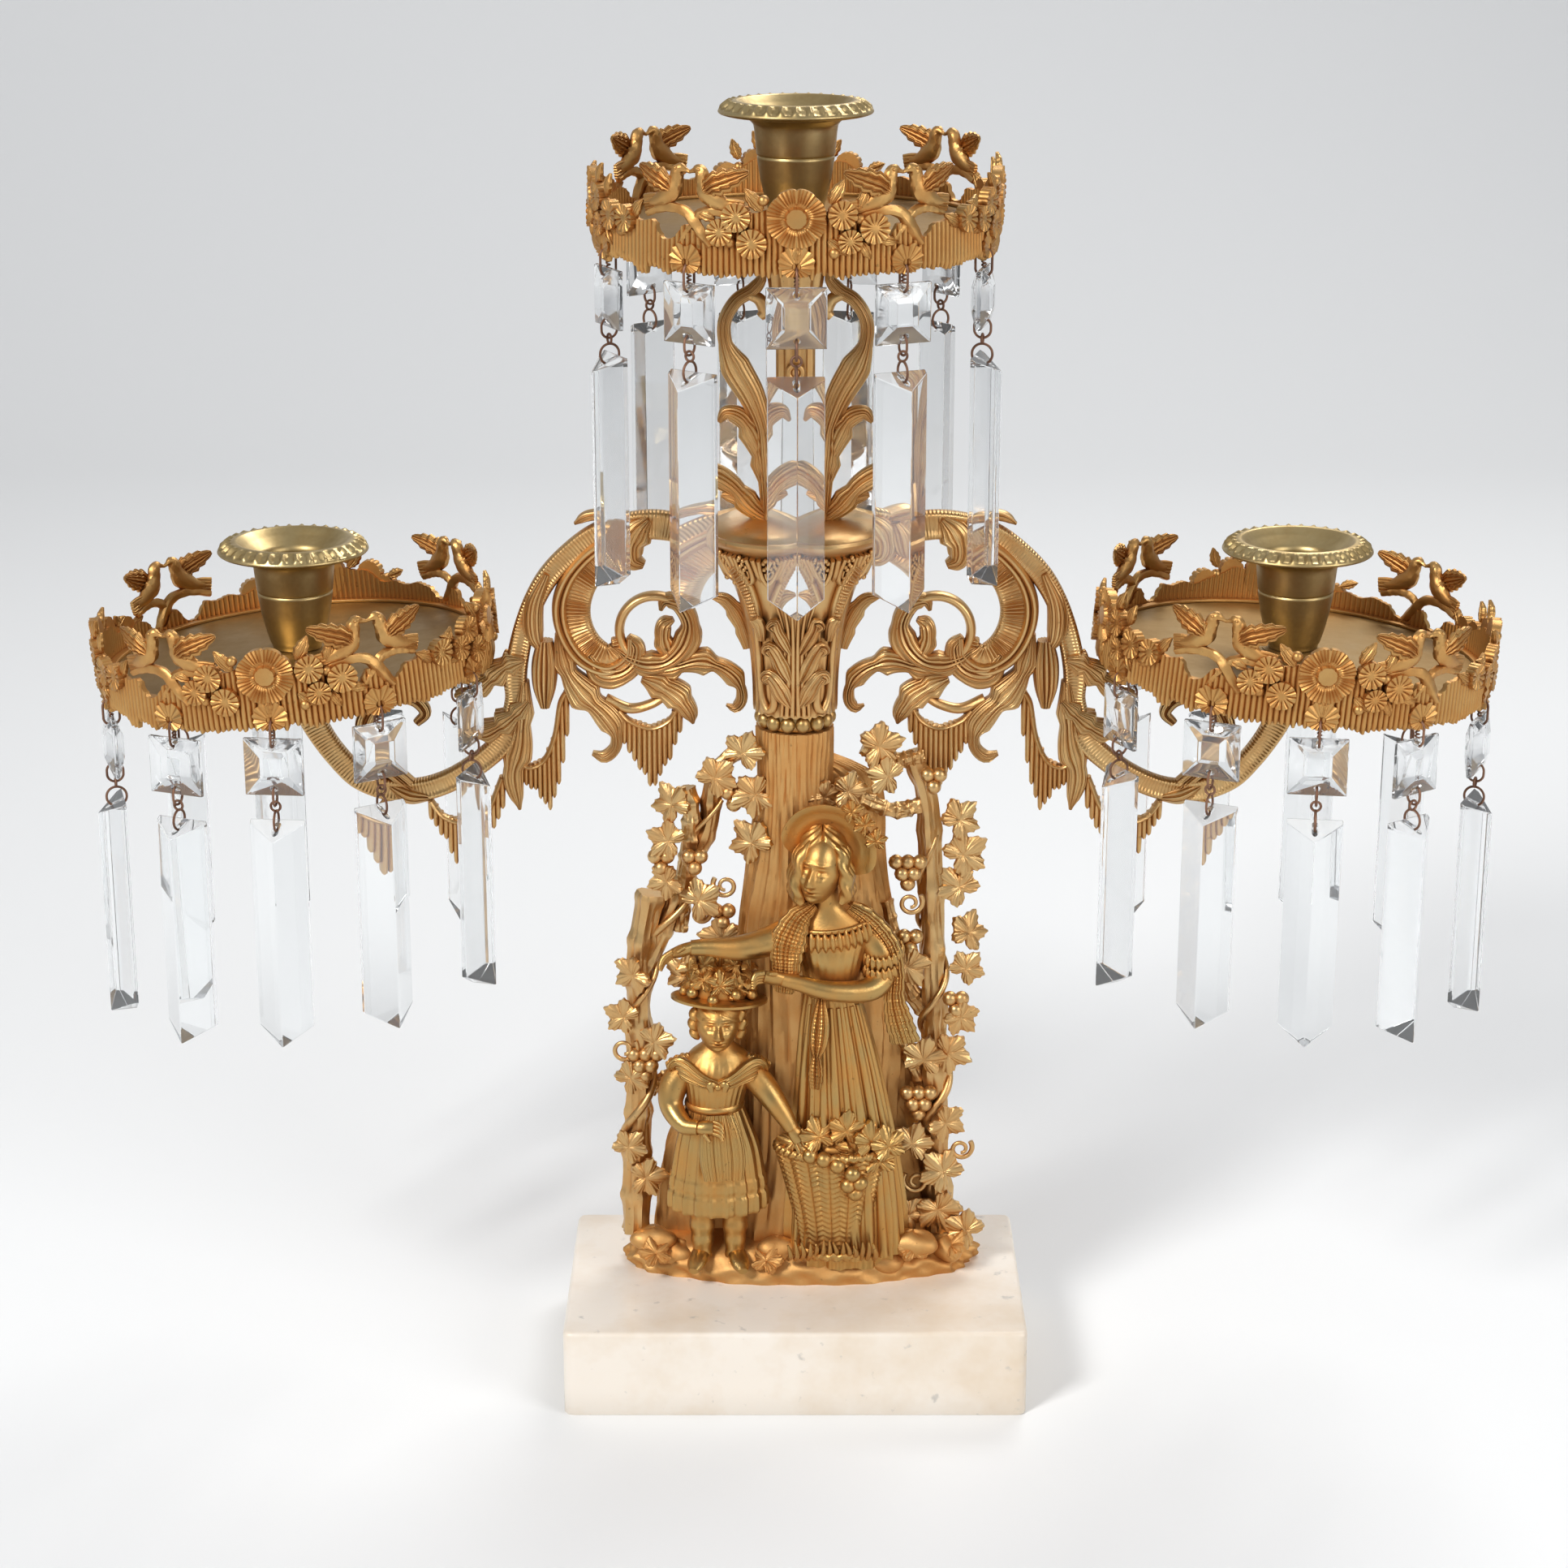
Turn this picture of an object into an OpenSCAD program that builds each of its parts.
// Three-light girandole candle holder: marble plinth, gilt castings and glass drops.
// Millimetres, +Z up. The origin is on the stem axis at the plinth's underside, and the front faces -Y.

/* [Plinth] */
// Width of the marble plinth
plinth_w = 152.4; // [130:0.1:190]
// Depth of the plinth
plinth_d = 92; // [84:1:120]
// Height of the plinth
plinth_h = 30; // [24:1:45]
// How far the plinth stands forward of the stem axis
plinth_forward = 11; // [4:1:16]
// Radius of the plinth's upright corners
plinth_corner = 3; // [2:0.5:8]
// Size of the plinth's worn top edge
plinth_arris = 1.2; // [0.4:0.1:1.8]
// Diameter of the recess for the nut
recess_d = 28; // [24:1:40]
// Depth of the recess for the nut
recess_depth = 12; // [10:1:16]

/* [Tie rod] */
// Diameter of the tie rod
rod_d = 6; // [4:0.5:8]
// Diameter of the washer
washer_d = 20; // [16:1:23]
// Thickness of the washer
washer_t = 1.6; // [1:0.2:3]
// Width of the nut across its corners
nut_d = 12; // [11:0.5:16]
// Thickness of the nut
nut_t = 5; // [3:0.5:7]
// Length of rod below the nut
rod_tail = 2; // [0.5:0.5:3]
// Length of rod screwed into the stem
rod_grip = 14; // [8:1:30]

/* [Column casting] */
// Height of the column casting
column_h = 191; // [186:1:215]
// Width of the rocky mound
mound_w = 118; // [112:1:130]
// Depth of the rocky mound
mound_d = 44; // [40:1:60]
// Height of the rocky mound
mound_h = 11; // [9:1:14]
// Radius of the tree trunk at its top
trunk_top_r = 12.5; // [10:0.5:16]
// Half width of the tree trunk at its foot
trunk_foot_r = 27; // [22:1:32]
// Number of bark flutes round the trunk
bark_flutes = 9; // [6:1:12]
// Height of the woman from the plinth to the top of her hat
woman_h = 168; // [150:1:175]
// Height of the child from the plinth to the top of the hat
child_h = 115; // [105:1:122]
// Height of the basket's rim above the plinth
basket_h = 52; // [46:1:58]
// Radius of the basket's rim
basket_r = 19; // [16:0.5:21]
// Radius of a vine stem
vine_r = 3.6; // [3:0.1:4.5]
// Radius of a vine leaf
leaf_r = 7.5; // [6:0.5:9]
// Radius of a grape
grape_r = 2.2; // [1.8:0.1:2.6]

/* [Beaded collar] */
// Height of the collar
collar_h = 6; // [5:0.5:9]
// Radius of the collar's core
collar_core_r = 10.8; // [9:0.1:12]
// Number of beads
bead_count = 14; // [10:1:16]
// Radius of a bead
bead_r = 2.5; // [1.6:0.1:2.5]

/* [Urn] */
// Height of the urn
urn_h = 61; // [52:1:75]
// Radius of the urn's foot
urn_foot_r = 13.6; // [12:0.1:16]
// Radius of the urn's rim
urn_rim_r = 30; // [26:0.5:36]
// Thickness of the urn's wall
urn_wall = 2.2; // [1.6:0.1:3]
// Thickness of the urn's floor
urn_floor = 5; // [3:0.5:8]
// How late the urn flares towards its rim
urn_flare = 2.5; // [1.8:0.1:3.5]
// Number of acanthus leaves round the urn
urn_leaves = 8; // [4:4:8]
// How far the leaves stand out
urn_relief = 1.4; // [0.8:0.1:2.5]

/* [Scroll arms] */
// Distance from the stem axis to the cup axis
arm_reach = 161; // [150:1:175]
// Height of the urn's top above the arm's cup seat
arm_drop = 44; // [38:1:52]
// Half thickness of an arm, front to back
arm_half_t = 4.2; // [3.2:0.1:5]
// Half width of the arm's main scroll
arm_half_w = 4; // [3.2:0.1:5]
// Width of the tongue in the urn's rim
tongue_w = 6; // [4:0.5:8]
// Height of the tongue
tongue_h = 8; // [6:0.5:10]
// Length of the tongue
tongue_l = 8; // [5:0.5:10]
// Radius of the cup seat
seat_r = 8; // [7:0.5:9.5]
// Height of the cup seat
seat_h = 8; // [7:0.5:12]

/* [Candle stem] */
// Height of the stem from the urn's top to the cup seat
stem_h = 94.5; // [88:0.5:120]
// Radius of the stem
stem_r = 6.2; // [5.5:0.1:7.5]
// Radius of the stem's top
stem_top_r = 9.8; // [8.5:0.1:11]
// Height of the stem's flared top
stem_flare_h = 12; // [8:1:18]
// Radius of the flange that closes the urn
flange_r = 25; // [22:0.5:26]
// Thickness of the flange
flange_t = 2; // [1.5:0.1:3]
// Number of flutes on the stem
stem_flutes = 12; // [8:1:16]
// Depth of a flute
flute_depth = 0.5; // [0.2:0.1:0.8]
// Height of the collar at the foot of the leaf spray
spray_collar_h = 12; // [8:1:20]
// Wall of the collar at the foot of the leaf spray
spray_collar_t = 2.6; // [1.6:0.1:4]

/* [Candle cups] */
// Height of a candle cup
cup_h = 36; // [32:0.5:46]
// Radius of a cup's rim
cup_rim_r = 24.2; // [20:0.1:28]
// Radius of the lip inside the rim
cup_lip_r = 18.8; // [15:0.1:19.5]
// Height of the sloping rim
cup_rim_h = 3.6; // [2.4:0.1:5]
// Radius of the candle bore
candle_r = 11; // [9.5:0.1:11.8]
// Depth of the candle bore below the funnel
candle_depth = 18; // [14:0.5:20]
// Depth of the funnel above the bore
funnel_depth = 6; // [4:0.5:8]
// Wall of the sleeve round the candle
sleeve_wall = 2; // [1.4:0.1:3]
// Height of the scribed line above the cup's foot
scribe_h = 19; // [14:0.5:24]
// Radius of the cup's foot
cup_foot_r = 8; // [6.5:0.1:9.5]
// Diameter of the stud under each cup
stud_d = 5; // [4:0.5:6]
// How far a stud enters the cup
stud_up = 5; // [3:0.5:6]
// How far a stud enters its seat
stud_down = 6; // [4:0.5:6.5]

/* [Galleries] */
// Outer radius of a gallery
gallery_r = 62.5; // [60:0.5:70]
// Wall of a gallery
gallery_t = 1.4; // [1.2:0.1:2]
// Height of a gallery's plain band
band_h = 13; // [11:0.5:16]
// Droop of the side galleries in degrees
gallery_droop = 4.5; // [0:0.5:5]
// Number of ribs round a gallery
rib_count = 40; // [24:1:54]
// Radius of a gallery flower
flower_r = 6.8; // [5:0.1:8]
// Length of a gallery bird
bird_l = 20; // [16:0.5:22]
// Thickness of the flowers and birds
ornament_t = 2.4; // [2:0.1:3.4]
// Radius of the hole for a pendant hook
hook_hole_r = 1.15; // [1.1:0.05:1.4]
// Thickness of a drip plate
plate_t = 1.2; // [0.8:0.1:1.4]
// Radius of a drip plate's hub
plate_hub_r = 10; // [9.5:0.5:12]
// Thickness of a drip plate's hub
plate_hub_t = 3.2; // [3:0.1:4.5]
// Width of the ledge that rests on the drip plate
ledge_w = 2.5; // [1.5:0.1:4]

/* [Pendants] */
// Side of a glass button
button_w = 18.2; // [15:0.1:20]
// Thickness of a glass button at its middle
button_t = 6.4; // [5:0.1:7]
// Thickness of a glass button at its edge
button_edge = 1.4; // [1:0.1:2]
// Side of the table on a glass button
button_table = 7; // [5:0.1:9]
// Width of a glass prism
prism_w = 17.3; // [14:0.1:20]
// Depth of a glass prism
prism_d = 8.5; // [7:0.1:9]
// Length of a glass prism
prism_l = 73; // [55:0.5:90]
// Height of the point under a prism
prism_point = 5; // [3:0.5:8]
// Height of the bevel on top of a prism
prism_bevel = 5; // [4.5:0.1:7]
// Thickness of a prism's side edges
prism_edge = 1.6; // [1:0.1:2.5]
// Radius of the pendant wire
wire_r = 0.4; // [0.3:0.05:0.5]
// Length of the hook from gallery to button
hook_l = 8.65; // [7.5:0.05:12]
// Length of the link under the button
link_l = 6.2; // [5.8:0.1:9]

/* [Hidden] */
$fn = 48;
fit = 0.2;          // gap round a piece in its seat
thread_gap = 0.05;  // gap between a screw and its hole
glass_hole_r = 1.1;
glass_hole_in = 2.4;
prism_hole_in = 2.6;
wire_lift = 0.35;   // height of a bent wire's crown above the middle of its hole
prism_lift = 0.45;
loop_r = 2.6;       // bend of the hook and link wires
prism_loop_r = 3.2; // bend of the wire through a prism
eye_r = 1.5;
eye_play = 0.3;
casting_faces = 6;  // sides of a scroll or leaf
stem_faces = 8;     // sides of an arm's main scroll

column_z = plinth_h;
collar_z = column_z + column_h;
urn_z = collar_z + collar_h;
urn_top_z = urn_z + urn_h;
stem_top_z = urn_top_z + stem_h;
arm_seat_z = urn_top_z - arm_drop;
arm_span = arm_reach - urn_rim_r;
column_grow = column_h / 191; // against the height for which the trunk and vines were drawn
tongue_x = urn_rim_r - tongue_l;
nut_z = recess_depth - washer_t - nut_t;
rod_bottom_z = nut_z - rod_tail;
rod_top_z = urn_top_z + rod_grip;

// The rings stand on the stem, the left arm and the right arm
RINGS = ["top", "left", "right"];
RING_X = [0, -arm_reach, arm_reach];
SEAT_Z = [stem_top_z, arm_seat_z, arm_seat_z];
RING_DROOP = [0, -gallery_droop, gallery_droop];
plate_mid = plate_hub_t / 2;

// Band and hook heights, from the middle of the drip plate
band_low = -4;
band_high = band_low + band_h;
hook_z = -4.6;
tab_r = 3.2;
tab_z = hook_z + 0.8;
hook_ring_r = gallery_r - gallery_t / 2;

// Angles round a gallery, from the front towards +X
HOOK_A = [-163, -130, -68, -31, 0, 31, 68, 130, 163];
BIRD_A = [-130, -30, 30, 130];
FLOWER_A = [-163, -98, -66, 0, 66, 98, 163];
SPRIG_A = [-147, -114, -82, -48, -15, 15, 48, 82, 114, 147, 180];
TWIST = [6, -8, 5, -4, 3, -6, 9, -5, 4];

PENDANTS = [for (ring = RINGS) for (i = [1 : len(HOOK_A)]) str("pendant_", ring, "_", i)];

// Smooth curves through a list of points of any size
function curve_at(a, b, c, d, t) =
    (2 * b + (c - a) * t + (2 * a - 5 * b + 4 * c - d) * t * t + (3 * b - a - 3 * c + d) * t * t * t) / 2;

function smooth(p, steps) = let (last = len(p) - 1) [
    for (i = [0 : last - 1]) for (k = [0 : steps - 1])
        curve_at(p[max(i - 1, 0)], p[i], p[i + 1], p[min(i + 2, last)], k / steps),
    p[last]
];

function unit(v) = v / norm(v);

// Faces of a closed skin over rings of n points
function skin_faces(rings, n) = concat(
    [for (i = [0 : rings - 2]) for (k = [0 : n - 1])
        let (a = i * n + k, b = i * n + (k + 1) % n) each [[a, b + n, b], [a, a + n, b + n]]],
    [[for (k = [0 : n - 1]) k]], [[for (k = [0 : n - 1]) rings * n - 1 - k]]
);

// Solid through level oval rings, each [z, x, y, half width, half depth], with upright folds
module loft(rings, sides = 20, steps = 2, folds = 0, fold = 0) {
    r = smooth(rings, steps);
    points = [for (q = r) for (k = [0 : sides - 1])
        let (a = 360 * k / sides, s = 1 + fold * cos(folds * a))
        [q[1] + q[3] * s * cos(a), q[2] + q[4] * s * sin(a), q[0]]];
    polyhedron(points, skin_faces(len(r), sides));
}

// Solid along a path of [x, y, z, half width, half depth], with the depth along the side direction
module sweep(path, sides = casting_faces, steps = 3, side = [0, 1, 0]) {
    p = smooth(path, steps);
    last = len(p) - 1;
    at = [for (q = p) [q[0], q[1], q[2]]];
    points = [for (i = [0 : last])
        let (t = unit(at[min(i + 1, last)] - at[max(i - 1, 0)]), u = unit(cross(side, t)), v = cross(t,
        u))
        for (k = [0 : sides - 1])
            let (a = 360 * k / sides) at[i] + u * p[i][3] * cos(a) + v * p[i][4] * sin(a)];
    polyhedron(points, skin_faces(len(p), sides));
}

// One casting: everything inside it is a single skin of metal
module casting() {
    resize([0, 0, 0]) union() children();
}

module plinth_outline(inset) {
    hull()
        for (x = [-1, 1]) for (y = [-1, 1])
            translate([x * (plinth_w / 2 - plinth_corner), y * (plinth_d / 2 - plinth_corner)])
                circle(plinth_corner - inset, $fn = 32);
}

module marble_plinth() {
    color("ivory")
        difference() {
            translate([0, -plinth_forward, 0])
                hull() {
                    linear_extrude(plinth_h - plinth_arris) plinth_outline(0);
                    linear_extrude(plinth_h) plinth_outline(plinth_arris);
                }
            translate([0, 0, -1]) cylinder(h = recess_depth + 1, d = recess_d);
            cylinder(h = plinth_h + 1, r = rod_d / 2 + fit);
        }
}

module plinth_washer() {
    color("gray")
        translate([0, 0, recess_depth - washer_t])
            difference() {
                cylinder(h = washer_t, d = washer_d);
                translate([0, 0, -1]) cylinder(h = washer_t + 2, r = rod_d / 2 + fit);
            }
}

module plinth_nut() {
    color("gray")
        translate([0, 0, nut_z])
            difference() {
                cylinder(h = nut_t, d = nut_d, $fn = 6);
                translate([0, 0, -1]) cylinder(h = nut_t + 2, r = rod_d / 2 + thread_gap);
            }
}

module tie_rod() {
    color("gray")
        translate([0, 0, rod_bottom_z]) cylinder(h = rod_top_z - rod_bottom_z, d = rod_d);
}

module mound() {
    w = mound_w / 2;
    d = mound_d / 2;
    loft([[0, 2, 0, w, d], [mound_h * 0.4, 2, 0, w * 0.98, d * 0.97],
        [mound_h * 0.8, 2, 0, w * 0.88, d * 0.82],
        [mound_h, 1, 0, w * 0.7, d * 0.6]], sides = 26, steps = 1, folds = 13, fold = 0.02);
}

module trunk() {
    g = column_grow;
    loft([[mound_h / 2, 0, 2, trunk_foot_r, 15], [60 * g, 2, 2, trunk_foot_r - 3, 14],
        [110 * g, 1, 2, 21, 13],
        [140 * g, 0, 1, 16, 12.5], [165 * g, 0, 0, trunk_top_r + 0.6, trunk_top_r],
        [column_h, 0, 0, trunk_top_r, trunk_top_r]],
        sides = 2 * bark_flutes, folds = bark_flutes, fold = 0.05);
    // Broad back of the trunk behind the woman
    loft([[62 * g, 8, 5, 27, 8.2], [100 * g, 8, 5, 26, 8], [134 * g, 8, 4.6, 22, 7.6],
        [160 * g, 7.5, 4.2, 19.5, 7], [174 * g, 6, 4, 16, 6.4]], sides = 14, steps = 1);
}

// Head with a plain brow and nose, chin at its foot and facing -Y
module head(w, h) {
    loft([[0, 0, 0, w * 0.42, w * 0.5], [h * 0.18, 0, -w * 0.05, w * 0.72, w * 0.8],
        [h * 0.5, 0, 0, w, w * 1.06],
        [h * 0.8, 0, w * 0.1, w * 0.9, w], [h, 0, w * 0.1, w * 0.4, w * 0.45]], sides = 12, steps = 1);
    sweep([[0, -w * 0.95, h * 0.5, w * 0.1, w * 0.1], [0, -w * 1.18, h * 0.36, w * 0.16, w * 0.16],
        [0, -w * 0.8, h * 0.3, w * 0.1, w * 0.1]], sides = 6, steps = 1, side = [1, 0, 0]);
}

// Hat with a wide brim and a low crown
module hat(brim, crown, h) {
    loft([[0, 0, 0, brim * 0.97, brim * 0.82], [h * 0.14, 0, 0, brim, brim * 0.85],
        [h * 0.3, 0, 0, crown * 1.15, crown * 1.1], [h * 0.75, 0, 0, crown, crown],
        [h, 0, 0, crown * 0.5, crown * 0.5]],
        sides = 16, steps = 1);
}

module woman() {
    size = woman_h / 168;
    scale(size) {
        loft([[5, 17, -10, 21, 11], [22, 17, -10, 20, 11], [48, 16, -11, 17, 10.5],
            [72, 14.5, -12, 14.5, 10],
            [92, 13, -12, 11, 8.5], [103, 12, -12, 8, 7]], sides = 22, folds = 11, fold = 0.06);
        loft([[100, 12, -12, 8.2, 7.2], [110, 12, -12.5, 9.5, 8.5], [118, 12, -13, 11.5, 9],
            [127, 12, -12, 13.5, 7.5],
            [132, 12, -12, 7, 5], [138, 10.5, -12.5, 4.2, 4.2]], sides = 12, steps = 1);
        translate([9, -14, 136]) rotate([8, 0, 12]) head(8, 25);
        translate([9.5, -11.5, 155]) rotate([-6, 10, 0]) hat(15, 9.5, 13);
        sweep([[2, -13, 125, 4.6, 4.6], [-13, -18, 122, 4.2, 4.2], [-27, -20, 121, 2.8, 2.8],
            [-39, -20, 122, 1.6, 2.2]],
            steps = 2, side = [0, 0, 1]);
        sweep([[23, -12, 125, 4.8, 4.8], [29, -15, 110, 4.4, 4.4], [13, -22, 107, 3, 3],
            [-6, -21, 111, 1.6, 2.2]], steps = 2);
    }
}

module child() {
    size = child_h / 115;
    scale(size) translate([-25, -12, 0]) {
        for (x = [-5.5, 5.5]) {
            sweep([[x, 0, 32, 4, 4], [x, 0, 14, 3.4, 3.4],
                [x, -1, 6, 3.6, 4.4]], side = [1, 0, 0], steps = 2);
            sweep([[x, 3, 7, 3.4, 3], [x * 1.2, -6, 7, 3.2, 2.6],
                [x * 1.3, -9, 6.5, 1.8, 1.6]], steps = 1,
                side = [1, 0, 0]);
        }
        loft([[27, 0, 0, 16.5, 10.5], [34, 0, 0, 16.3, 10.5], [46, 0, 0, 14, 9.5], [58, 0, 0, 10.5, 8],
            [64, 0, 0, 8.5, 7.5]],
            sides = 18, folds = 9, fold = 0.05);
        loft([[62, 0, 0, 8.5, 7.5], [72, 0, -0.5, 10, 8.5], [82, 0, -0.5, 12, 8.5], [88, 0, 0, 8, 6],
            [93, 0, 0, 3.8, 3.8]],
            sides = 12, steps = 1);
        translate([0, -1.5, 90]) rotate([6, 0, 6]) head(7.6, 19);
        translate([0, 0, 104]) rotate([-4, -5, 0]) hat(15.5, 9, 11);
        sweep([[-10, 0, 84, 4, 4], [-15.5, -2, 72, 3.8, 3.8], [-5, -10, 61, 2.2, 2.2]], steps = 2);
        sweep([[10, 0, 84, 4, 4], [17, -5, 72, 3.6, 3.6], [27, -9, 58, 2, 2]], steps = 2);
    }
}

module basket() {
    rim = basket_h;
    translate([13.5, -13, 0]) {
        loft([[mound_h - 4, 0, 0, basket_r * 0.6, 7.5], [rim * 0.55, 0, 0, basket_r * 0.76, 9],
            [rim - 2, 0, 0, basket_r * 0.96, 11]],
            sides = 20, folds = 10, fold = 0.03);
        loft([[rim - 3, 0, 0, basket_r, 11.6], [rim, 0, 0, basket_r, 11.6]], sides = 20, steps = 1);
        for (x = [-0.6, -0.1, 0.4, 0.8])
            translate([basket_r * x, -5 - 3 * cos(200 * x), rim + 1]) rotate([65, 0, 150 * x])
            vine_leaf();
        for (x = [-0.3, 0.35]) translate([basket_r * x, -6, rim - 1]) grapes();
    }
}

module vine_leaf() {
    points = 10;
    linear_extrude(2, center = true)
        polygon([for (i = [0 : points - 1])
            let (a = 360 * i / points, r = leaf_r * (i % 2 == 0 ? 1 : 0.62)) [r * sin(a), r * cos(a)]]);
}

// Hanging cluster of grapes, one below two
module grapes() {
    pitch = grape_r * 1.6;
    for (row = [0 : 1]) for (k = [0 : row])
        translate([(k - row / 2) * pitch, -(row % 2) * 1.2, row * pitch * 0.86]) sphere(grape_r, $fn = 6);
}

// Vine stem with leaves set on alternate sides
module vine(path, leaves) {
    sweep(path, sides = 7, steps = 2);
    p = smooth(path, 6);
    for (i = [1 : leaves]) {
        q = p[floor(i * (len(p) - 1) / (leaves + 0.5))];
        s = i % 2 == 0 ? 1 : -1;
        translate([q[0] + s * leaf_r * 0.6, q[1] - 2.5, q[2]]) rotate([82, 35 * s * sin(70 * i), 0])
            vine_leaf();
    }
}

module vines() {
    r = vine_r;
    foot = (mound_h - 5) / column_grow;
    vine([[-53, -2, foot, r * 1.3, r * 1.3], [-52, -2, 62, r * 1.15, r * 1.15],
        [-51, -2, 112, r * 1.1, r * 1.1], [-47, -2, 133, r, r]], 5);
    vine([[-51, -1, 112, r * 0.8, r * 0.8], [-39, 0, 134, r * 0.8, r * 0.8],
        [-28, 0, 160, r * 0.75, r * 0.75],
        [-22, 0, 178, r * 0.7, r * 0.7], [-8, 0, 182, r * 0.7, r * 0.7]], 4);
    vine([[51, 0, foot, r * 1.3, r * 1.3], [48, 0, 62, r * 1.15, r * 1.15],
        [46, 0, 104, r * 1.1, r * 1.1],
        [45, 0, 140, r, r], [42, 0, 170, r * 0.9, r * 0.9], [34, 0, 182, r * 0.9, r * 0.9],
        [8, 0, 180, r * 0.8, r * 0.8]], 9);
    sweep([[-52, -1, 60, r * 0.7, r * 0.7], [-38, 0, 56, r * 0.6, r * 0.6],
        [-18, 1, 66, r * 0.6, r * 0.6]], sides = 6);
    sweep([[47, 0, 82, r * 0.7, r * 0.7], [36, 0, 88, r * 0.6, r * 0.6],
        [18, 1, 100, r * 0.6, r * 0.6]], sides = 6);
    for (p = [[-48, 106], [43.5, 94], [41.5, 148]]) translate([p[0], -vine_r, p[1]]) grapes();
}

module figure_column() {
    color("goldenrod")
        translate([0, 0, column_z])
            casting() difference() {
                union() {
                    mound();
                    trunk();
                    woman();
                    child();
                    basket();
                    scale([1, 1, column_grow]) vines();
                }
                translate([0, 0, -1]) cylinder(h = column_h + 2, r = rod_d / 2 + fit, $fn = 24);
            }
}

module beaded_collar() {
    color("gold")
        translate([0, 0, collar_z])
            difference() {
                union() {
                    cylinder(h = collar_h, r = collar_core_r);
                    for (i = [0 : bead_count - 1])
                        rotate([0, 0, 360 * (i + 0.5) / bead_count])
                            translate([collar_core_r, 0, collar_h / 2]) sphere(bead_r);
                }
                translate([0, 0, -1]) cylinder(h = collar_h + 2, r = rod_d / 2 + fit);
            }
}

// Radius of the urn at a height above its foot
function urn_radius(z) = urn_foot_r + (urn_rim_r - urn_foot_r) * pow(max(z, 0) / urn_h, urn_flare);

// Outline of the urn's outside, moved out by a relief
function urn_side(out) = [for (i = [0 : 10]) let (z = urn_h * i / 10) [urn_radius(z) + out, z]];

// Outline of an acanthus leaf that hangs from the urn's rim, tip down
function acanthus(w, h) = [for (i = [-8 : 8])
    let (t = i / 8, lobe = 1 + 0.12 * cos(1440 * t))
    [w / 2 * t * lobe, h * (pow(abs(t), 1.4) - 1) - h * 0.05 * cos(1440 * t)]];

module urn() {
    lip_r = urn_wall * 0.75;
    leaf_w = 2 * PI * urn_rim_r / urn_leaves * 0.72;
    color("darkgoldenrod")
        translate([0, 0, urn_z])
            difference() {
                union() {
                    rotate_extrude() polygon(concat([[0, 0]], urn_side(0), [[0, urn_h]]));
                    translate([0, 0, urn_h - lip_r])
                        rotate_extrude() translate([urn_rim_r, 0]) circle(lip_r, $fn = 24);
                    for (i = [0 : urn_leaves - 1])
                        intersection() {
                            rotate_extrude() polygon(concat([[0, 0]], urn_side(urn_relief), [[0,
                                urn_h]]));
                            rotate([0, 0, 360 * (i + 0.5) / urn_leaves])
                                translate([0, 0, urn_h - lip_r])
                                    rotate([90, 0, 0])
                                        linear_extrude(urn_rim_r + urn_relief + lip_r)
                                            polygon(acanthus(leaf_w, urn_h * 0.62));
                        }
                }
                rotate_extrude()
                    polygon(concat(
                        [[0, urn_floor]], [for (p = urn_side(-urn_wall)) if (p[1] > urn_floor) p],
                        [[urn_rim_r - urn_wall, urn_h + 1], [0, urn_h + 1]]
                    ));
                translate([0, 0, -1]) cylinder(h = urn_floor + 2, r = rod_d / 2 + fit);
                for (side = [0, 180])
                    rotate([0, 0, side])
                        translate([tongue_x - fit, -tongue_w / 2 - fit, urn_h - tongue_h - fit])
                            cube([tongue_l * 2, tongue_w + 2 * fit, tongue_h + 1]);
            }
}

// Places on an arm in hundredths of its span, from the urn's rim, and of its drop, from the urn's top
function arm_at(p) =
    [urn_rim_r + p[0] * arm_span / 100, p[4], urn_top_z - p[1] * arm_drop / 100, p[2], p[3]];

// Scroll or leaf of an arm: points are [along, down, half width, half thickness, forward]
module scroll(points, steps = 3, sides = casting_faces) {
    sweep([for (p = points) arm_at(p)], sides, steps);
}

// Hanging icicle drop between two places on an arm
module icicle(along, down, half_w, length) {
    q = arm_at([along, down, 0, 0, 0]);
    translate([q[0], 0, q[2]])
        rotate([90, 0, 0])
            linear_extrude(arm_half_t * 1.2, center = true)
                polygon([[-half_w, 2], [-half_w, -length * 0.35], [-half_w * 0.55, -length * 0.45],
                    [-half_w * 0.5, -length * 0.75], [0, -length], [half_w * 0.5, -length * 0.75],
                    [half_w * 0.55, -length * 0.4],
                    [half_w, -length * 0.3], [half_w, 2]]);
}

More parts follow.
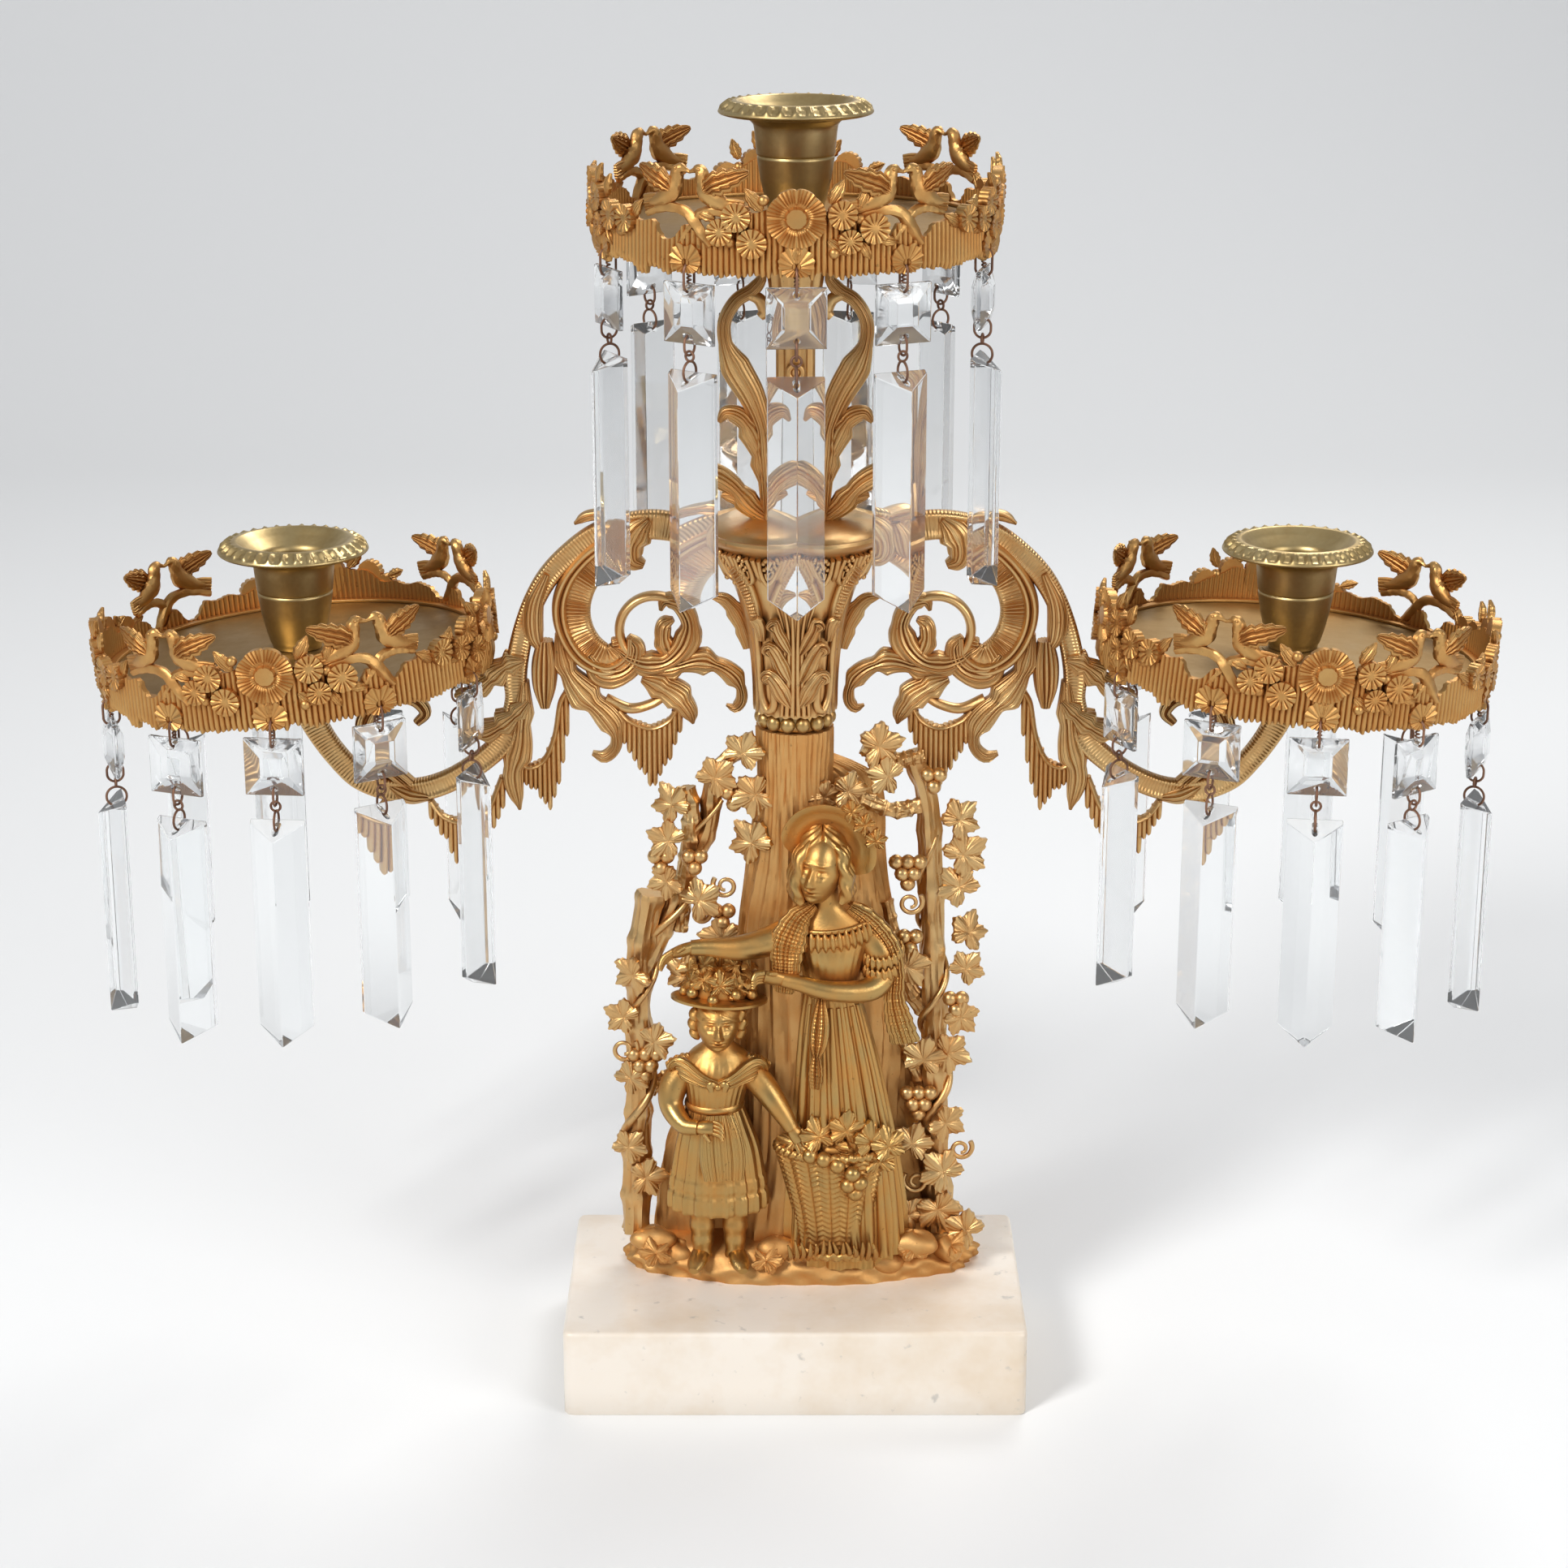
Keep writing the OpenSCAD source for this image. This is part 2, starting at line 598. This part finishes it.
// Right-hand arm: main scroll, volutes, acanthus leaves, icicles, tongue and cup seat
module arm() {
    w = arm_half_w;
    t = arm_half_t;
    difference() {
        casting() {
            scroll([[-2, 9, w, t * 0.8, 0], [14, -1, w * 1.1, t, 0], [27, 7, w * 1.1, t, 0],
                [38, 36, w * 1.05, t, 0],
                [44.5, 76, w, t, 0], [46.5, 114, w, t, 0], [49, 161, w * 0.95, t, 0],
                [58, 187, w * 0.95, t * 0.95, 0],
                [70, 203, w * 0.95, t * 0.95, 0], [82, 200, w * 0.95, t * 0.95, 0],
                [91, 177, w * 0.9, t * 0.9, 0],
                [97, 147, w, t, 0], [100, 112, w * 1.3, t * 1.3, 0]], steps = 2, sides = stem_faces);
            scroll([[16, 12, 1.5, 2, 0], [24, 25, 3.2, t * 0.9, 0], [31, 47, 3.2, t * 0.9, 0],
                [33, 66, 3.2, t * 0.9, 0], [30, 92, 3, t * 0.8, 0], [24, 101, 2.4, t * 0.7, 0],
                [18.4, 93, 1.8, t * 0.6, 0]], steps = 2);
            scroll([for (a = [20 : 40 : 340])
                [11.5 + 7.8 * cos(a), 81 - 23.5 * sin(a), 2.2, t * 0.7, 0]], steps = 2);
            scroll([[13, 108, 2, t * 0.5, 0], [8, 106, 3.4, t * 0.7, 0], [0, 102, 3.6, t * 0.7, 0],
                [-5, 108, 3.2, t * 0.6, 0],
                [-8.4, 122, 2.4, t * 0.5, 0], [-8.4, 135, 1, t * 0.3, 0]], steps = 2);
            scroll([[13, 112, 2.6, t * 0.7, 0], [9, 124, 3, t * 0.7, 0], [4.5, 135, 2.2, t * 0.5, 0],
                [2.4, 150, 0.6, 0.8, 0]], steps = 2);
            scroll([[32.4, 82, 2.6, t * 0.8, 0], [33, 113, 4, t, 0], [27.5, 134, 3.8, t, 0],
                [23, 147, 3.2, t * 0.8, 0], [21.6, 162, 2.6, t * 0.7, 0], [24, 175, 2, t * 0.5, 0],
                [28, 174, 0.8, t * 0.3, 0]], steps = 2);
            scroll([[24, 138, 1.8, t * 0.6, 0], [18, 141, 1.8, t * 0.6, 0],
                [5.6, 131, 1.8, t * 0.6, 0]], steps = 2);
            scroll([[43, 88, 2.6, t, 0], [39.2, 92, 3.4, t * 1.1, 0], [39.4, 115, 3.2, t * 1.1, 0],
                [39.2, 138, 0.8, t * 0.5, 0]], steps = 2);
            for (y = [-1, 1]) {
                scroll([[45, 100, 2.5, 1.6, y], [49.5, 103, 3.8, 1.8, y * 2], [54, 118, 3, 1.5, y * 2.4],
                    [61, 129, 0.6, 0.6, y * 2]], steps = 2);
                scroll([[44, 132, 2.5, 1.6, y], [50.5, 150, 3.6, 1.8, y * 2],
                    [60, 158, 0.6, 0.6, y * 2.4]], steps = 2);
            }
            scroll([[44, 140, 2.6, t * 0.7, 0], [47.5, 178, 3.4, t * 0.7, 0],
                [46.5, 216, 0.7, 0.8, 0]], steps = 2);
            scroll([[73, 198, 2.4, t * 0.8, 0], [80, 180, 2.8, t * 0.8, 0], [84, 155, 2.6, t * 0.8, 0],
                [80, 133, 2.4, t * 0.7, 0],
                [72, 130, 2.2, t * 0.6, 0], [68.5, 141, 1.6, t * 0.5, 0]], steps = 2);
            scroll([[73, 208, 2.4, t * 0.6, 0], [80, 216, 2.6, t * 0.6, 0],
                [83, 234, 0.6, 0.8, 0]], steps = 2);
            icicle(13, 146, 6, 22);
            icicle(37.5, 140, 5, 32);
            icicle(59.5, 192, 7, 32);
            translate([arm_reach, 0, arm_seat_z - seat_h]) cylinder(h = seat_h, r = seat_r, $fn = 32);
            translate([tongue_x, -tongue_w / 2, urn_top_z - tongue_h])
                cube([tongue_l + arm_half_w, tongue_w, tongue_h - fit]);
        }
        translate([arm_reach, 0, arm_seat_z - stud_down - fit])
            cylinder(h = seat_h, r = stud_d / 2 + thread_gap);
    }
}

module arm_left() {
    color("peru") mirror([1, 0, 0]) arm();
}

module arm_right() {
    color("peru") arm();
}

// Cross-section of the stem with hollow flutes
module fluted(r) {
    points = stem_flutes * 6;
    polygon([for (i = [0 : points - 1])
        let (a = 360 * i / points, q = r - flute_depth * (1 - cos(stem_flutes * a)) / 2)
        [q * cos(a), q * sin(a)]]);
}

module candle_stem() {
    flare_z = stem_h - stem_flare_h;
    color("goldenrod")
        translate([0, 0, urn_top_z])
            difference() {
                union() {
                    cylinder(h = flange_t, r = flange_r);
                    linear_extrude(flare_z + 1) fluted(stem_r);
                    rotate_extrude()
                        polygon(concat(
                            [[0, flare_z]], [for (i = [0 : 6]) let (s = i / 6)
                                [stem_r + (stem_top_r - stem_r) * (1 - cos(90 * s)),
                                flare_z + (stem_flare_h - 2) * s]],
                            [[stem_top_r, stem_h], [0, stem_h]]
                        ));
                }
                translate([0, 0, -1]) cylinder(h = rod_grip + 2, r = rod_d / 2 + thread_gap);
                translate([0, 0, stem_h - stud_down - fit])
                    cylinder(h = stud_down + 1, r = stud_d / 2 + thread_gap);
            }
}

// One side of the leaf spray: points are [out, up, half width, half thickness, forward]
module spray_leaf(points, steps = 3) {
    sweep([for (p = points) [p[0] + stem_r + fit, -p[4], p[1], p[2], p[3]]], casting_faces, steps);
}

module leaf_spray() {
    color("goldenrod")
        translate([0, 0, urn_top_z + flange_t])
            casting() difference() {
                union() {
                    cylinder(h = spray_collar_h, r1 = stem_r + fit + spray_collar_t * 1.5,
                        r2 = stem_r + fit + spray_collar_t);
                    for (side = [0, 1]) mirror([side, 0, 0]) {
                        spray_leaf([[1, 4, 3, 3.5, 0], [1.8, 22, 3.6, 3.4, 0], [4.5, 34, 3.8, 3, 0],
                            [10, 44, 3.8, 2.8, 0], [15, 55, 3.6, 2.6, 0], [16, 63, 3.2, 2.4, 0],
                            [12.5, 70.5, 2.6, 2.2, 0], [7, 74, 2.2, 2, 0], [3.8, 70, 2, 1.8, 0],
                            [5, 64, 1.6, 1.4, 0]], steps = 2);
                        spray_leaf([[1, 6, 3, 3.2, 0], [3.5, 18, 3.4, 3, 0], [8, 28, 3.2, 2.6, 0],
                            [13, 33.5, 2.4, 2, 0], [17, 32, 1, 1, 0]], steps = 2);
                        spray_leaf([[1, 3, 2.6, 3.2, 0], [7, 6, 3.2, 3, 0], [13.5, 12.5, 3.2, 2.8, 0],
                            [21, 14.8, 3, 2.6, 0], [28.5, 11, 2.6, 2.2, 0],
                            [31.5, 5, 1.2, 1.4, 0]], steps = 2);
                        // Strap that hangs from the low leaf in front of the arm
                        spray_leaf([[29.4, 9.2, 1.4, 1.2, 0.4], [30.2, 5.6, 2, 1.4, 4],
                            [29.6, 0, 2.4, 1.4, 6.7],
                            [29.4, -9, 2.8, 1.4, 6.9], [29.8, -19, 2.7, 1.3, 6.4],
                            [30.2, -27, 0.6, 0.7, 5.6]], steps = 2);
                    }
                }
                translate([0, 0, -1]) cylinder(h = stem_h, r = stem_r + fit, $fn = 36);
            }
}

module cup_studs() {
    color("gray")
        for (r = [0 : 2])
            translate([RING_X[r], 0, SEAT_Z[r] - stud_down])
                cylinder(h = stud_down + plate_hub_t + stud_up, d = stud_d);
}

// Stands its children in the frame of a ring: on its seat, level with the plate, with the ring's droop
module on_seat(r, droop) {
    translate([RING_X[r], 0, SEAT_Z[r] + plate_mid]) rotate([0, droop, 0]) children();
}

module drip_plate(r) {
    color("goldenrod")
        difference() {
            union() {
                on_seat(r, 0) cylinder(h = plate_hub_t, r = plate_hub_r, center = true);
                on_seat(r, RING_DROOP[r])
                    difference() {
                        cylinder(h = plate_t, r = gallery_r - gallery_t - fit, center = true);
                        cylinder(h = plate_t + 1, r = plate_hub_r - 1, center = true);
                    }
            }
            on_seat(r, 0) cylinder(h = plate_hub_t + 2, r = stud_d / 2 + fit, center = true);
        }
}

// Lays flat ornament against the gallery wall, with its Y axis upright and its Z axis outward
module on_wall(a, z) {
    rotate([0, 0, a]) translate([0, -hook_ring_r, z]) rotate([90, 0, 0]) children();
}

module flower() {
    petals = 8;
    points = petals * 4;
    linear_extrude(ornament_t, center = true)
        polygon([for (i = [0 : points - 1])
            let (a = 360 * i / points, r = flower_r * (0.84 + 0.16 * cos(petals * a)))
            [r * cos(a), r * sin(a)]]);
    cylinder(h = ornament_t, r = flower_r * 0.3);
}

// Bird that perches at the origin and faces +X
module bird() {
    l = bird_l;
    linear_extrude(ornament_t, center = true)
        polygon([[0.52, 0.36], [0.42, 0.5], [0.32, 0.56], [0.2, 0.52], [-0.05, 0.42], [-0.3, 0.55],
            [-0.5, 0.72], [-0.55, 0.6], [-0.42, 0.3], [-0.25, 0.06], [0, -0.06], [0.2, 0], [0.34, 0.2],
            [0.42, 0.33]] * l);
}

// Forked twig under a pair of birds, with an opening in each fork
module perch() {
    fork = bird_l * 0.5;
    linear_extrude(ornament_t, center = true)
        difference() {
            polygon([[-fork * 1.3, 0], [-fork * 1.5, 6], [fork * 1.5, 6], [fork * 1.3, 0]]);
            for (s = [-1, 1]) translate([s * fork * 0.6, 2.6]) circle(2);
        }
}

module sprig() {
    linear_extrude(ornament_t, center = true)
        polygon([[-2.6, 0], [-3.4, 2.5], [-2.2, 5], [0, 8.5], [2.2, 5], [3.4, 2.5], [2.6, 0]]);
}

// Rib that ends below the band in an icicle tip of uneven length
module rib(i) {
    w = PI * gallery_r / rib_count * 0.62;
    tip = 1.2 + 1.2 * pow(sin(47 * i), 2);
    linear_extrude(ornament_t - 0.6, center = true)
        polygon([[-w, band_h * 0.45], [-w, -0.4], [-w * 0.4, -tip], [w * 0.4, -tip], [w, -0.4],
            [w, band_h * 0.45]]);
}

module gallery(r) {
    ledge_r = gallery_r - gallery_t - ledge_w;
    color("goldenrod")
        on_seat(r, RING_DROOP[r])
            difference() {
                union() {
                    rotate_extrude()
                        polygon([[gallery_r - gallery_t, band_low], [gallery_r, band_low],
                            [gallery_r, band_high], [gallery_r - gallery_t, band_high],
                            [gallery_r - gallery_t, plate_t / 2 + 1], [ledge_r, plate_t / 2 + 1],
                            [ledge_r, plate_t / 2], [gallery_r - gallery_t, plate_t / 2]]);
                    for (i = [0 : rib_count - 1]) on_wall(360 * (i + 0.5) / rib_count, band_low) rib(i);
                    for (a = HOOK_A)
                        on_wall(a, tab_z) cylinder(h = ornament_t - 0.6, r = tab_r, center = true);
                    for (a = FLOWER_A) on_wall(a, band_high + flower_r * 0.35) flower();
                    for (a = SPRIG_A) on_wall(a, band_high - 2) sprig();
                    for (a = BIRD_A) {
                        on_wall(a, band_high - 1) perch();
                        for (s = [0, 1])
                            on_wall(a, band_high + 5) mirror([s, 0, 0])
                                translate([-bird_l * 0.5, 0, 0]) bird();
                    }
                }
                for (a = HOOK_A) on_wall(a, hook_z)
                    cylinder(h = ornament_t * 3, r = hook_hole_r, center = true);
            }
}

module candle_cup(r) {
    rim_z = cup_h - cup_rim_h;
    bore_z = cup_h - funnel_depth;
    sleeve_r = candle_r + sleeve_wall;
    color("darkgoldenrod")
        translate([RING_X[r], 0, SEAT_Z[r] + plate_hub_t])
            rotate_extrude()
                polygon([[stud_d / 2 + thread_gap, 0], [cup_foot_r, 0], [cup_foot_r, 2],
                    [cup_foot_r + 1.6, 6], [sleeve_r - 1.8, scribe_h - 7],
                    [sleeve_r - 0.9, scribe_h - 0.4], [sleeve_r - 1.2, scribe_h],
                    [sleeve_r - 0.8, scribe_h + 0.4], [sleeve_r, rim_z - 4], [sleeve_r + 2, rim_z - 1.6],
                    [cup_rim_r - 1, rim_z - 0.8], [cup_rim_r, rim_z], [cup_rim_r - 0.6, rim_z + 0.8],
                    [cup_lip_r, cup_h],
                    [cup_lip_r - 1.2, cup_h], [candle_r, bore_z], [candle_r, bore_z - candle_depth],
                    [stud_d / 2 + thread_gap, bore_z - candle_depth]]);
}

// Closed wire loop that stands in the YZ plane, its top wire at the origin
module wire_loop(length, bend) {
    straight = length - 2 * bend;
    translate([0, 0, -bend])
        rotate([90, 0, 90]) rotate_extrude(angle = 180) translate([bend, 0]) circle(wire_r, $fn = 16);
    translate([0, 0, -bend - straight])
        rotate([-90, 0, 90]) rotate_extrude(angle = 180) translate([bend, 0]) circle(wire_r, $fn = 16);
    if (straight > 0.01)
        for (y = [-bend, bend])
            translate([0, y, -bend - straight]) cylinder(h = straight, r = wire_r, $fn = 16);
}

module glass_button() {
    difference() {
        hull() {
            cube([button_w, button_edge, button_w], center = true);
            cube([button_table, button_t, button_table], center = true);
        }
        for (z = [-1, 1])
            translate([0, 0, z * (button_w / 2 - glass_hole_in)])
                rotate([90, 0, 0]) cylinder(h = button_t * 2, r = glass_hole_r, center = true, $fn = 24);
    }
}

// Prism with its top edge at the origin, a flat back at +Y and a ridge at the front
module glass_prism(back) {
    w = prism_w / 2;
    front = back - prism_d;
    difference() {
        intersection() {
            translate([0, 0, -prism_l - 1])
                linear_extrude(prism_l + 2)
                    polygon([[-w, back], [w, back], [w, back - prism_edge], [0, front],
                        [-w, back - prism_edge]]);
            rotate([90, 0, 0])
                linear_extrude(prism_d * 4, center = true)
                    polygon([[-w - 1, 1], [w + 1, 1], [w + 1, -prism_l + prism_point * (w + 1) / w],
                        [0, -prism_l], [-w - 1, -prism_l + prism_point * (w + 1) / w]]);
            rotate([90, 0, 90])
                linear_extrude(prism_w * 2, center = true)
                    polygon([[back + 1, prism_bevel / prism_d],
                        [front - 1, -prism_bevel - prism_bevel / prism_d],
                        [front - 1, -prism_l - 2], [back + 1, -prism_l - 2]]);
        }
        translate([0, 0, -prism_hole_in])
            rotate([90, 0, 0]) cylinder(h = prism_d * 4, r = glass_hole_r, center = true, $fn = 24);
    }
}

// Pendant on hook hole i of ring r: hook, glass button, link, eye and glass prism
module pendant(r, i) {
    a = HOOK_A[i];
    d = RING_DROOP[r];
    local = [hook_ring_r * sin(a), -hook_ring_r * cos(a), hook_z];
    hole = [local[0] * cos(d) + local[2] * sin(d), local[1], local[2] * cos(d) - local[0] * sin(d)];
    button_z = glass_hole_in - hook_l + wire_lift - button_w / 2;
    link_z = button_z - button_w / 2 + glass_hole_in + wire_lift;
    eye_z = link_z - link_l - eye_play;
    loop_z = eye_z - eye_r;
    prism_z = loop_z - 2 * prism_loop_r + prism_lift + prism_hole_in;
    hole_depth = prism_d * prism_hole_in / prism_bevel;
    color("lightcyan")
        translate(hole + [RING_X[r], 0, SEAT_Z[r] + plate_mid])
            rotate([0, 0, a + TWIST[(i + 3 * r) % len(TWIST)]]) {
                wire_loop(hook_l, loop_r);
                translate([0, 0, button_z]) glass_button();
                translate([0, 0, link_z]) wire_loop(link_l, loop_r);
                translate([0, 0, eye_z])
                    rotate([90, 0, 0]) rotate_extrude() translate([eye_r, 0]) circle(wire_r, $fn = 16);
                translate([0, 0, loop_z]) wire_loop(2 * prism_loop_r, prism_loop_r);
                translate([0, 0, prism_z]) glass_prism(hole_depth / 2);
            }
}

marble_plinth();
plinth_washer();
plinth_nut();
tie_rod();
figure_column();
beaded_collar();
urn();
arm_left();
arm_right();
candle_stem();
leaf_spray();
cup_studs();
for (r = [0 : 2]) {
    drip_plate(r);
    gallery(r);
    candle_cup(r);
    for (i = [0 : len(HOOK_A) - 1])
        pendant(r, i);
}
